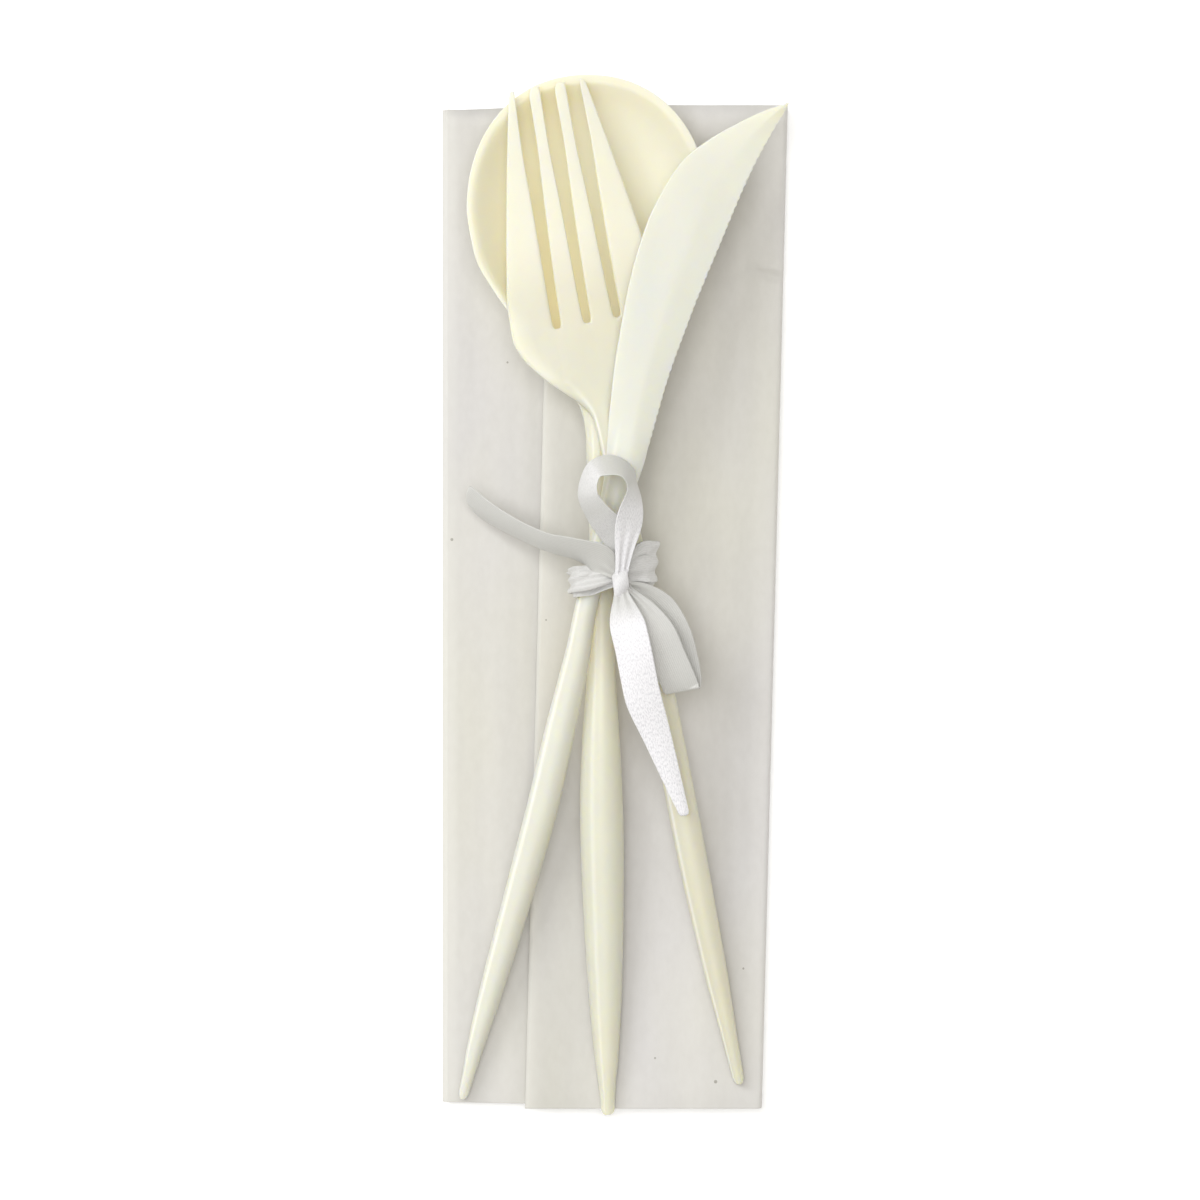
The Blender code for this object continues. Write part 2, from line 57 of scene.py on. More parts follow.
def ease(value):
    """0 below 0, 1 above 1, and smooth between."""
    value = min(1.0, max(0.0, value))
    return value * value * (3 - 2 * value)


def smooth(keys, at):
    """A smooth value through (place, value) keys in millimetres, read at a place in metres."""
    places = [place * MM for place, _ in keys]
    values = [value * MM for _, value in keys]
    if at <= places[0]:
        return values[0]
    if at >= places[-1]:
        return values[-1]
    i = next(k for k in range(len(places) - 1) if at <= places[k + 1])
    slopes = [(values[k + 1] - values[k]) / (places[k + 1] - places[k]) for k in range(len(places) - 1)]

    def tangent(k):
        before = slopes[max(k - 1, 0)]
        after = slopes[min(k, len(slopes) - 1)]
        return 0.0 if before * after <= 0 else 2 * before * after / (before + after)

    span = places[i + 1] - places[i]
    t = (at - places[i]) / span
    rise = values[i] * (2 * t**3 - 3 * t**2 + 1) + values[i + 1] * (3 * t**2 - 2 * t**3)
    return rise + span * (tangent(i) * (t**3 - 2 * t**2 + t) + tangent(i + 1) * (t**3 - t**2))


def round_end(distance, radius):
    """How far a rounded end has opened, from 0 at its tip to 1 a radius along."""
    if distance >= radius:
        return 1.0
    return math.sqrt(max(0.0, 1 - (1 - distance / radius) ** 2))


def add_object(name, points, faces, finish):
    mesh = bpy.data.meshes.new(name)
    mesh.from_pydata([tuple(point) for point in points], [], faces)
    outward = bmesh.new()
    outward.from_mesh(mesh)
    bmesh.ops.recalc_face_normals(outward, faces=outward.faces)
    outward.to_mesh(mesh)
    outward.free()
    mesh.materials.append(finish)
    mesh.shade_smooth()
    obj = bpy.data.objects.new(name, mesh)
    bpy.context.scene.collection.objects.link(obj)
    return obj


def subdivide(obj, levels):
    rounding = obj.modifiers.new("rounding", "SUBSURF")
    rounding.levels = levels
    rounding.render_levels = levels


def closed_plate(tops, unders, quads):
    """Points and faces of a solid between two copies of one open quad mesh, with a line round its side."""
    count = len(tops)
    points = list(tops) + list(unders)
    faces = [tuple(quad) for quad in quads]
    faces += [tuple(count + corner for corner in reversed(quad)) for quad in quads]
    edges = {}
    for quad in quads:
        for a, b in zip(quad, quad[1:] + quad[:1]):
            edges[(a, b)] = True
    middle = {}
    for a, b in edges:
        if (b, a) in edges:
            continue
        for corner in (a, b):
            if corner not in middle:
                middle[corner] = len(points)
                points.append(tuple((p + q) / 2 for p, q in zip(tops[corner], unders[corner])))
        faces.append((b, a, middle[a], middle[b]))
        faces.append((middle[b], middle[a], count + a, count + b))
    return points, faces


def grid_quads(rows, columns, keep=lambda row, column: True):
    """Quads of a grid whose points run along each row."""
    quads = []
    for row in range(rows - 1):
        for column in range(columns - 1):
            if keep(row, column):
                first = row * columns + column
                quads.append([first, first + 1, first + columns + 1, first + columns])
    return quads


def mark(obj, name, shares):
    """Stores one share for each point of the list, and 0 for the points past its end."""
    layer = obj.data.attributes.new(name, "FLOAT", "POINT")
    for i, value in enumerate(layer.data):
        value.value = shares[i] if i < len(shares) else 0.0


def bell(value, centre, width):
    """1 at the centre, and falling smoothly to 0 about two widths away."""
    return math.exp(-((value - centre) / width) ** 2)


def place(points, tip, turn):
    """Points of a utensil moved from its own frame to where it lies."""
    move = Matrix.Translation((tip[0], tip[1], 0)) @ Matrix.Rotation(turn, 4, "Z")
    return [move @ Vector(point) for point in points]


# --- helpers for materials ---


class Nodes:
    """A short way to add and join the nodes of one material."""

    def __init__(self, name):
        self.material = bpy.data.materials.new(name)
        self.material.use_nodes = True
        self.tree = self.material.node_tree
        self.shader = self.tree.nodes["Principled BSDF"]

    def add(self, kind, **values):
        node = self.tree.nodes.new(kind)
        for name, value in values.items():
            setattr(node, name, value)
        return node

    def join(self, out_socket, in_socket):
        self.tree.links.new(out_socket, in_socket)

    def coordinates(self, scale, space="Object"):
        texture = self.add("ShaderNodeTexCoord")
        mapping = self.add("ShaderNodeMapping")
        mapping.inputs["Scale"].default_value = scale
        self.join(texture.outputs[space], mapping.inputs["Vector"])
        return mapping.outputs["Vector"]

    def noise(self, scale, detail=3.0, stretch=(1, 1, 1), space="Object"):
        made = self.add("ShaderNodeTexNoise")
        made.inputs["Scale"].default_value = scale
        made.inputs["Detail"].default_value = detail
        self.join(self.coordinates(stretch, space), made.inputs["Vector"])
        return made.outputs["Fac"]

    def ramp(self, source, stops):
        made = self.add("ShaderNodeValToRGB")
        while len(made.color_ramp.elements) < len(stops):
            made.color_ramp.elements.new(0.5)
        for element, (position, colour) in zip(made.color_ramp.elements, stops):
            element.position = position
            element.color = (*colour, 1.0)
        self.join(source, made.inputs["Fac"])
        return made.outputs["Color"]

    def mix(self, factor, first, second, blend="MIX"):
        made = self.add("ShaderNodeMix", data_type="RGBA", blend_type=blend)
        if hasattr(factor, "is_linked"):
            self.join(factor, made.inputs["Factor"])
        else:
            made.inputs["Factor"].default_value = factor
        self.join(first, made.inputs[6])
        if hasattr(second, "is_linked"):
            self.join(second, made.inputs[7])
        else:
            made.inputs[7].default_value = (*second, 1.0)
        return made.outputs[2]

    def maths(self, operation, first, second=0.0):
        made = self.add("ShaderNodeMath", operation=operation)
        for socket, value in zip(made.inputs, (first, second)):
            if hasattr(value, "is_linked"):
                self.join(value, socket)
            else:
                socket.default_value = value
        return made.outputs["Value"]

    def bump(self, height, distance, strength=1.0, under=None):
        made = self.add("ShaderNodeBump")
        made.inputs["Distance"].default_value = distance
        made.inputs["Strength"].default_value = strength
        self.join(height, made.inputs["Height"])
        if under is not None:
            self.join(under, made.inputs["Normal"])
        return made.outputs["Normal"]

    def set(self, **values):
        for name, value in values.items():
            self.shader.inputs[name.replace("_", " ")].default_value = value


# --- cream plastic ---

# Painted highlight colour, for the bright lines along the handles' ridges and the rims and edges of the
# heads.
PAINTED_HIGHLIGHT_CREAM = (0.90, 0.88, 0.79)
# Painted glow colour: the yellower colour of light that passes through the plastic and gathers in slots and
# under other pieces.
PAINTED_GLOW_CREAM = (0.740, 0.650, 0.300)
LIGHT_THROUGH = (1.0, 0.88, 0.38)  # painted glow: emitted light standing in for light that comes through a thin wall
THROUGH_STRENGTH = 0.19
LIGHT_IN_HOLLOW = (0.96, 0.97, 0.98)  # painted light: a glow standing in for light that gathers in the bowl
HOLLOW_STRENGTH = 0.12
SIDE_PAINTED_GLOW = 0.12  # how much painted glow, standing in for light through the plastic, a moulding's sides and underside get
CROSSING_PAINTED_GLOW = 0.7
CROSSING_S = 76 * MM  # where the three handles lie close together, just below the ribbon, and the painted glow is strongest
CROSSING_REACH = 13 * MM


def side_painted_glow(point):
    """How much painted glow a side gets: most where light goes through several handles."""
    return SIDE_PAINTED_GLOW + CROSSING_PAINTED_GLOW * bell(point[1], CROSSING_S, CROSSING_REACH)


def cream_plastic(name, light, roughness):
    """Moulded cream polystyrene, softly glossy, with painted light: a yellow glow where light goes through
    its sides, a glow in the bowl, and painted highlights on ridges and edges.
    """
    nodes = Nodes(name)
    cloudy = nodes.noise(60, 3)
    dull = (light[0] * 0.975, light[1] * 0.970, light[2] * 0.950)
    colour = nodes.ramp(cloudy, [(0.3, dull), (0.7, light)])
    # Painted glow: where this share is high the plastic turns yellower and gives off a little yellow light,
    # standing in for light coming through it.
    inner = nodes.add("ShaderNodeAttribute", attribute_name="painted_glow")
    colour = nodes.mix(inner.outputs["Fac"], colour, PAINTED_GLOW_CREAM)
    glow = nodes.maths("MULTIPLY", inner.outputs["Fac"], THROUGH_STRENGTH)
    # Painted light: a share that makes the inside of the bowl give off a little light, more on its right
    # side.
    hollow = nodes.add("ShaderNodeAttribute", attribute_name="lit")
    lit = nodes.maths("MULTIPLY", hollow.outputs["Fac"], HOLLOW_STRENGTH)
    nodes.join(nodes.maths("ADD", glow, lit), nodes.shader.inputs["Emission Strength"])
    light_colour = nodes.ramp(hollow.outputs["Fac"], [(0.0, LIGHT_THROUGH), (0.3, LIGHT_IN_HOLLOW)])
    nodes.join(light_colour, nodes.shader.inputs["Emission Color"])
    # Painted highlight: a share that lightens the ridges, the spoon's rim and the fork's shoulders and
    # tines.
    edges = nodes.add("ShaderNodeAttribute", attribute_name="painted_highlight")
    colour = nodes.mix(edges.outputs["Fac"], colour, PAINTED_HIGHLIGHT_CREAM)
    nodes.join(colour, nodes.shader.inputs["Base Color"])
    smears = nodes.noise(140, 4, stretch=(1, 0.25, 1))
    rough = nodes.ramp(smears, [(0.3, (roughness - 0.06,) * 3), (0.7, (roughness + 0.08,) * 3)])
    nodes.join(rough, nodes.shader.inputs["Roughness"])
    grain = nodes.noise(2600, 2)
    flow = nodes.noise(220, 2, stretch=(1, 0.3, 1))
    soft = nodes.bump(flow, 0.00004, 0.5)
    nodes.join(nodes.bump(grain, 0.000006, 0.5, soft), nodes.shader.inputs["Normal"])
    nodes.set(Subsurface_Weight=0.7, Subsurface_Radius=(1.0, 0.8, 0.3), Subsurface_Scale=0.004, IOR=1.5)
    return nodes.material


# --- spoon ---

WALL = 1.2 * MM
RIDGE_RISE = 0.13 * MM
RIDGE_WIDE = 0.10  # as a share of half the handle's width
ROUND_TIP = 1.3 * MM  # radius of the end of each handle
SPOON_LENGTH = 171.5 * MM
SPOON_TIP = (-1.2 * MM, -85.7 * MM)
SPOON_TURN = math.radians(1.26)
SPOON_HALF = ((0, 1.15), (3, 1.25), (9.5, 1.95), (19.4, 2.7), (33, 3.3), (47.4, 3.6), (58, 3.35),
              (66, 2.85), (74, 2.3), (86, 1.95), (102, 1.85), (110, 2.0))
SPOON_BASE = ((0, 3.3), (20, 4.2), (47, 5.8), (70, 7.0), (90, 7.7), (104, 8.0), (112, 8.2))
SPOON_HEIGHT = ((0, 1.4), (10, 2.6), (20, 3.3), (47, 4.0), (70, 3.3), (90, 2.8), (112, 2.4))
SPOON_BOW = ((0, 0), (50, 0.05), (95, 0.9), (130, 0.6), (150, 0), (172, 0))
SPOON_RIDGE = -0.45
SPOON_RIM = ((112, 10.6), (125, 11.0), (150, 11.0), (171.5, 9.9))
NECK_S = 110 * MM
BOWL_WIDEST_S = 149 * MM
BOWL_HALF = 19.9 * MM
BOWL_DEPTH = 6.2 * MM
BOWL_BACK = ((110, 1.9), (114, 2.1), (117, 2.8), (120, 4.9), (124, 8.1), (130, 12.0), (136, 16.0),
             (142, 18.9), (149, 19.9))
BOWL_FLOOR = ((110, 0), (114, 0.2), (120, 1.6), (130, 4.6), (140, 6.0), (149, 6.2))
BOWL_POWER = 2.15  # of the bowl's round front, where 2 would be an ellipse
RIM_SHARE = 0.94
COVERED_AT = (-4 * MM, 134 * MM)  # the place in the bowl under the fork's slots
COVERED_REACH = (8.5 * MM, 20 * MM)


def ridge_share(side, half, ridge):
    """How much of the ridge stands at side: it runs along the handle at the place ridge, both -1 to 1."""
    return bell(math.sin(side * math.pi / 2), ridge, RIDGE_WIDE) * min(1.0, half / (1.5 * MM))


def handle_section(side, half, base, height, ridge):
    """Top and underside points across a handle: domed with one ridge, and hollow below where it is wide."""
    angle = side * math.pi / 2
    dome = max(math.cos(angle), 0.0) ** 0.8
    inner_half = max(half - WALL, 0.72 * half)
    hollow = max(height - WALL, 0.0) * min(1.0, max(0.0, (half - 2.0 * MM) / (0.8 * MM)))
    across = math.sin(angle)
    top = base + height * dome + RIDGE_RISE * ridge_share(side, half, ridge)
    return (half * across, top), (inner_half * across, base + hollow * dome)


def handle_stations(end, rows):
    return [0.15 * MM, 0.45 * MM, 0.8 * MM, 1.2 * MM, 1.8 * MM] + spread(3 * MM, end, rows)


def bowl_half(s):
    if s <= BOWL_WIDEST_S:
        return smooth(BOWL_BACK, s)
    forward = (s - BOWL_WIDEST_S) / (SPOON_LENGTH - BOWL_WIDEST_S)
    return BOWL_HALF * max(0.0, 1 - forward**BOWL_POWER) ** (1 / BOWL_POWER)


def bowl_section(side, s):
    """Inside and outside points across the bowl: a flat rim, then a smooth hollow."""
    half = bowl_half(s)
    x = half * math.sin(side * math.pi / 2)
    rim = smooth(SPOON_RIM, s)
    if s <= BOWL_WIDEST_S:
        out = abs(x) / half
        depth = smooth(BOWL_FLOOR, s)
    else:
        forward = (s - BOWL_WIDEST_S) / (SPOON_LENGTH - BOWL_WIDEST_S)
        out = ((abs(x) / BOWL_HALF) ** BOWL_POWER + forward**BOWL_POWER) ** (1 / BOWL_POWER)
        depth = BOWL_DEPTH
    inside = depth * max(0.0, 1 - (out / RIM_SHARE) ** 2.3)
    outside = depth * max(0.0, 1 - out**2.6)
    return (x, rim - inside), (x, rim - WALL - outside)


def spoon_shares(side, s, x, level, half, blend):
    """How much painted glow, painted light in the bowl and painted highlight the top of the spoon gets at
    one point.
    """
    sunk = (smooth(SPOON_RIM, s) - level) / BOWL_DEPTH if blend > 0 else 0.0
    inside = blend * ease(sunk * 1.4)
    # Under the fork's slots the bowl gets more painted glow and less painted light: a painted shadow of the
    # fork.
    covered = bell(s, COVERED_AT[1], COVERED_REACH[1]) * bell(x, COVERED_AT[0], COVERED_REACH[0])
    painted_glow = inside * (0.11 + 0.85 * covered)
    lit = min(1.0, inside * (0.72 + 0.5 * side) * (1 - 0.4 * covered))
    # A little painted highlight on the rim, and a painted highlight along the handle's ridge.
    on_rim = ease((0.22 - sunk) / 0.2) * blend
    painted_highlight = 0.05 * on_rim + 0.45 * (1 - blend) * ridge_share(side, half, SPOON_RIDGE)
    return painted_glow, lit, painted_highlight


def make_spoon(finish):
    handle = handle_stations(NECK_S, 46)
    back = spread(NECK_S, BOWL_WIDEST_S, 34)[1:]
    reach = SPOON_LENGTH - BOWL_WIDEST_S
    front = [BOWL_WIDEST_S + reach * math.sin(0.497 * math.pi * i / 30) for i in range(1, 31)]
    stations = handle + back + front
    sides = spread(-1, 1, 33)
    tops = []
    unders = []
    shares = []
    for s in stations:
        bow = smooth(SPOON_BOW, s)
        base = smooth(SPOON_BASE, s)
        height = smooth(SPOON_HEIGHT, s)
        blend = ease((s - NECK_S) / (9 * MM))
        half = smooth(SPOON_HALF, s) * round_end(s, ROUND_TIP)
        for side in sides:
            top, under = handle_section(side, half, base, height, SPOON_RIDGE)
            if blend > 0:
                bowl_top, bowl_under = bowl_section(side, s)
                widening = bowl_half(s) / half
                top = (bowl_top[0], top[1] + (bowl_top[1] - top[1]) * blend)
                under_x = under[0] * widening * (1 - blend) + bowl_under[0] * blend
                under = (under_x, under[1] + (bowl_under[1] - under[1]) * blend)
            tops.append((top[0] + bow, s, top[1]))
            unders.append((under[0] + bow, s, under[1]))
            shares.append(spoon_shares(side, s, top[0], top[1], half, blend))
    points, faces = closed_plate(tops, unders, grid_quads(len(stations), len(sides)))
    spoon = add_object("moulded_spoon", place(points, SPOON_TIP, SPOON_TURN), faces, finish)
    painted_glow, lit, painted_highlight = zip(*shares)
    mark(spoon, "painted_glow", list(painted_glow) + [side_painted_glow(point) for point in points[len(tops):]])
    mark(spoon, "lit", lit)
    mark(spoon, "painted_highlight", painted_highlight)
    subdivide(spoon, 1)
    return spoon


# --- fork ---

FORK_LENGTH = 167.6 * MM
FORK_TIP = (20.6 * MM, -80.6 * MM)
FORK_TURN = math.radians(10.97)
FORK_HALF = ((0, 0.9), (3, 1.05), (10, 1.4), (20, 1.95), (45, 2.45), (62, 2.4), (80, 2.0), (95, 1.9),
             (110, 1.9), (113, 2.3), (115, 3.6), (118, 6.6), (121, 9.3), (124, 11.4), (127.5, 12.6),
             (132, 12.5), (140, 11.4), (150, 9.7), (160, 7.8), (167.6, 6.3))
FORK_BASE = ((0, 3.3), (20, 4.6), (50, 7.2), (80, 9.8), (100, 11.1), (112, 11.5), (130, 11.5), (150, 10.8),
             (167.6, 10.9))
FORK_HEIGHT = ((0, 1.4), (10, 2.4), (20, 3.0), (45, 3.3), (70, 2.8), (95, 2.3), (112, 2.1), (120, 1.9),
               (150, 1.8), (167.6, 1.3))
FORK_BOW = ((0, 0), (10, -0.2), (40, -0.6), (87, -0.6), (128, -0.8), (150, -0.4), (167.6, 0))
FORK_RIDGE = -0.80
SLOT_ROOT_S = 128.6 * MM
SLOT_SPACING = ((128, 5.0), (167.6, 4.25))
SLOT_HALF = ((128, 0.62), (138, 0.75), (150, 1.0), (158, 1.25), (167.6, 1.15))
PALM_START_S = 112 * MM
BLOCK_SHARES = (0.0, 0.1, 0.3, 0.5, 0.7, 0.9)  # points across each tine and each slot


def fork_columns(s, half):
    """Places across the head at a station: four tines with three slots between them."""
    spacing = smooth(SLOT_SPACING, s)
    slot = smooth(SLOT_HALF, s)
    edges = [-half, -spacing - slot, -spacing + slot, -slot, slot, spacing - slot, spacing + slot, half]
    places = []
    for block, (left, right) in enumerate(zip(edges, edges[1:])):
        if block % 2 == 0:
            middle = (left + right) / 2
            tip = max(round_end(FORK_LENGTH - s, 1.6 * MM), 0.35)
            left = middle + (left - middle) * tip
            right = middle + (right - middle) * tip
        places += [left + (right - left) * share for share in BLOCK_SHARES]
    return places + [right]


def slot_wall(point):
    """How much painted glow the fork's sides and underside get: full on the walls of the slots."""
    inside = abs(point[0]) < 0.74 * smooth(FORK_HALF, point[1])
    return 1.0 if inside and point[1] > SLOT_ROOT_S - 3 * MM else side_painted_glow(point)


def make_fork(finish):
    handle = handle_stations(PALM_START_S, 46)
    palm = spread(PALM_START_S, SLOT_ROOT_S, 20)[1:]
    tines = spread(SLOT_ROOT_S, FORK_LENGTH - 1.8 * MM, 34)[1:]
    tips = [FORK_LENGTH - share * MM for share in (1.3, 0.9, 0.55, 0.25, 0.0)]
    stations = handle + palm + tines + tips
    root_row = len(handle) + len(palm) - 1
    block = len(BLOCK_SHARES)
    columns = 7 * block + 1
    sides = spread(-1, 1, columns)
    tops = []
    unders = []
    painted_highlights = []
    for row, s in enumerate(stations):
        bow = smooth(FORK_BOW, s)
        half = smooth(FORK_HALF, s) * round_end(s, ROUND_TIP)
        base = smooth(FORK_BASE, s)
        height = smooth(FORK_HEIGHT, s)
        blend = min(1.0, max(0.0, (s - PALM_START_S) / (8 * MM)))
        across = fork_columns(max(s, SLOT_ROOT_S), half)
        for i, side in enumerate(sides):
            top, under = handle_section(side, half, base, height, FORK_RIDGE)
            head_x = across[i] if half > 7 * MM or s > SLOT_ROOT_S else half * side
            crown = 0.25 * math.cos(side * math.pi / 2) * height
            head_top = base + height * 0.8 + crown
            y = s
            if row == root_row and (i // block) % 2 == 1:
                across_slot = 2 * (i % block) / block - 1
                y -= smooth(SLOT_HALF, s) * math.sqrt(max(0.0, 1 - across_slot**2))
            top_x = top[0] * (1 - blend) + head_x * blend + bow
            under_x = under[0] * (1 - blend) + head_x * blend + bow
            tops.append((top_x, y, top[1] * (1 - blend) + head_top * blend))
            unders.append((under_x, y, under[1] * (1 - blend) + base * blend))
            near_edge = ease((abs(head_x) - half + 3.2 * MM) / (2.4 * MM))
            shoulder = near_edge * ease((SLOT_ROOT_S + 6 * MM - s) / (6 * MM))
            tine = ease((s - SLOT_ROOT_S - 2 * MM) / (14 * MM))
            # Painted highlight along the handle's ridge, and along the head's shoulders and tines.
            painted_highlights.append(0.95 * ridge_share(side, half, FORK_RIDGE) * (1 - blend)
                         + blend * (0.35 * max(shoulder, tine)))

    def is_solid(row, column):
        return row < root_row or (column // block) % 2 == 0

    points, faces = closed_plate(tops, unders, grid_quads(len(stations), columns, is_solid))
    fork = add_object("moulded_fork", place(points, FORK_TIP, FORK_TURN), faces, finish)
    walls = [slot_wall(point) for point in points[len(tops):]]
    mark(fork, "painted_glow", [0.0] * len(tops) + walls)
    mark(fork, "painted_highlight", painted_highlights)
    drop_loose_points(fork)
    subdivide(fork, 1)
    return fork


def drop_loose_points(obj):
    mesh = bmesh.new()
    mesh.from_mesh(obj.data)
    loose = [point for point in mesh.verts if not point.link_faces]
    bmesh.ops.delete(mesh, geom=loose, context="VERTS")
    mesh.to_mesh(obj.data)
    mesh.free()


# --- knife ---

KNIFE_LENGTH = 172.3 * MM
KNIFE_TIP = (-25.0 * MM, -83.2 * MM)
KNIFE_TURN = math.radians(-15.0)
KNIFE_LEFT = ((0, -1.1), (3, -1.3), (10, -1.9), (20, -2.3), (50, -2.6), (65, -3.0), (76, -3.0), (84, -3.4),
              (95, -3.6), (105, -4.2), (115, -6.0), (126, -7.6), (140, -8.55), (147, -8.25), (153.6, -7.0),
              (158.7, -5.2), (163.6, -1.5), (167, 2.0), (170, 5.5), (172.3, 8.9))
KNIFE_RIGHT = ((0, 0.5), (3, 0.6), (10, 1.0), (20, 1.7), (35, 2.3), (50, 2.6), (65, 1.9), (76, 1.2),
               (84, 0.3), (95, 0.1), (105, 1.2), (110, 1.6), (121, 1.7), (133, 2.6), (149, 4.6), (160, 6.2),
               (172.3, 9.2))
KNIFE_RIDGE = -0.70
KNIFE_BASE = ((0, 2.3), (20, 3.9), (50, 7.1), (75, 10.1), (88, 11.6), (100, 13.2), (112, 14.4), (130, 14.3),
              (150, 13.0), (172.3, 11.9))
KNIFE_HEIGHT = ((0, 1.4), (10, 2.3), (20, 2.9), (50, 3.3), (75, 2.7), (95, 2.3), (108, 2.1), (118, 1.7),
                (150, 1.6), (172.3, 1.2))
BLADE_START_S = 104 * MM
TEETH_START_S = 112 * MM
TOOTH_PITCH = 1.25 * MM
TOOTH_DEPTH = 0.22 * MM
EDGE_THICK = 0.5 * MM
KNIFE_SIDES = (-1, -0.97, -0.9, -0.8, -0.7, -0.62, -0.56, -0.5, -0.45, -0.4, -0.34, -0.26, -0.15, 0,
               0.15, 0.3, 0.45, 0.6, 0.72, 0.82, 0.92, 0.97, 1)


def tooth(s):
    """How far the cutting edge steps in at this station: a row of small rounded teeth."""
    if s < TEETH_START_S or s > KNIFE_LENGTH - 3 * MM:
        return 0.0
    phase = ((s - TEETH_START_S) / TOOTH_PITCH) % 1.0
    return TOOTH_DEPTH * (0.5 + 0.5 * math.cos(2 * math.pi * phase)) ** 1.5


def make_knife(finish):
    teeth = int((KNIFE_LENGTH - TEETH_START_S) / TOOTH_PITCH)
    blade = spread(TEETH_START_S, KNIFE_LENGTH, 4 * teeth + 1)[1:]
    stations = handle_stations(TEETH_START_S, 60) + blade
    tops = []
    unders = []
    painted_highlights = []
    for s in stations:
        left = smooth(KNIFE_LEFT, s)
        right = smooth(KNIFE_RIGHT, s)
        middle = (left + right) / 2
        half = (right - left) / 2 * round_end(s, ROUND_TIP)
        base = smooth(KNIFE_BASE, s)
        height = smooth(KNIFE_HEIGHT, s)
        blend = ease((s - BLADE_START_S) / (12 * MM))
        inset = tooth(s) if half > 1.0 * MM else 0.0
        for side in KNIFE_SIDES:
            top, under = handle_section(side, half, base, height, KNIFE_RIDGE)
            ground = max(0.0, (side - 0.2) / 0.8)
            flat = half * side - inset * ease((side - 0.8) / 0.2)
            fall = (height - EDGE_THICK) * 0.5 * ground
            crown = 0.12 * MM * (1 - side * side)
            top_x = middle + (top[0] * (1 - blend) + flat * blend)
            under_x = middle + (under[0] * (1 - blend) + flat * blend)
            tops.append((top_x, s, top[1] * (1 - blend) + (base + height - fall + crown) * blend))
            unders.append((under_x, s, under[1] * (1 - blend) + (base + fall) * blend))
            # Painted highlight along the handle's ridge.
            painted_highlights.append(0.8 * ridge_share(side, half, KNIFE_RIDGE) * (1 - blend))
    points, faces = closed_plate(tops, unders, grid_quads(len(stations), len(KNIFE_SIDES)))
    knife = add_object("moulded_knife", place(points, KNIFE_TIP, KNIFE_TURN), faces, finish)
    # Painted glow on the knife's sides and underside, and painted highlight along its handle's ridge.
    mark(knife, "painted_glow", [0.0] * len(tops) + [side_painted_glow(point) for point in points[len(tops):]])
    mark(knife, "painted_highlight", painted_highlights)
    subdivide(knife, 1)
    return knife


# --- napkin: a sheet folded in half twice, then in a Z of three panels ---

NAPKIN_LEFT = -28.6 * MM
NAPKIN_RIGHT = (24.3 * MM, 28.6 * MM)
NAPKIN_NEAR = (-83.4 * MM, -84.4 * MM)
NAPKIN_FAR = (80.8 * MM, 81.1 * MM)
FLAP_WIDTH = 39.2 * MM
PITCH = 1.0 * MM  # from one panel of four layers to the next
PAIR_OFFSET = 0.2 * MM
LAYER_OFFSET = 0.1 * MM
LAYER_THICK = 0.13 * MM
EDGE_SPLIT = 1.4 * MM  # how far the flap's lower pair of layers shows past its upper pair
SET_BACK = 1.2 * MM  # how far one layer's far edge stands back from the next


def fold_line(flap_set_back):
    """Middle line of the Z as (share across, x shift, z, normal), with share 0 at the left fold."""
    line = []
    level = 0.45 * MM
    radius = PITCH / 2
    inset = radius + 0.4 * MM
    for share in spread(0.96, 0.0, 26):
        line.append((share, inset * (1 - share), level, (0.0, 1.0)))
    for turn in spread(0, math.pi, 9)[1:-1]:
        line.append((0.0, inset - radius * math.sin(turn), level + radius * (1 - math.cos(turn)),
                     (math.sin(turn), math.cos(turn))))
    level += PITCH
    for share in spread(0.0, 1.0, 28):
        line.append((share, inset * (1 - 2 * share), level, (0.0, -1.0)))
    for turn in spread(0, math.pi, 9)[1:-1]:
        line.append((1.0, -inset + radius * math.sin(turn), level + radius * (1 - math.cos(turn)),
                     (math.sin(turn), -math.cos(turn))))
    level += PITCH
    for share in spread(0.0, 1.0, 56):
        across = FLAP_WIDTH - inset - flap_set_back
        line.append((1.0, -inset - across * share, level, (0.0, 1.0)))
    return line


def undulation(x, y):
    """Height of the soft creases and swells in the top of the napkin, in metres."""
    ridges = ((-24.5, 1.1, 0.20), (-20.0, 1.6, -0.22), (-16.2, 1.0, 0.14), (-6.0, 2.2, -0.10),
              (7.5, 2.4, 0.16), (13.0, 1.6, -0.14), (18.8, 1.8, 0.15), (23.6, 1.2, -0.12))
    height = 0.0
    for centre, width, size in ridges:
        bend = 0.018 * (y / MM) + 0.8 * math.sin(y / (31 * MM) + centre)
        fade = 0.65 + 0.35 * math.sin(y / (22 * MM) + 1.7 * centre)
        height += size * fade * math.exp(-((x / MM - centre - bend) / width) ** 2)
    long_swell = 0.10 * math.sin(y / (17 * MM) + x / (40 * MM))
    short_swell = 0.07 * math.sin(y / (8.3 * MM) - x / (9 * MM))
    height += long_swell + short_swell
    crease = y / MM - 53.4 + 0.22 * (x / MM - 27.0)
    reach = ease((x / MM - 20.5) / 4.5)
    height += reach * (0.30 * bell(crease, 1.0, 1.0) - 0.60 * bell(crease, -0.6, 0.8))
    return height * MM


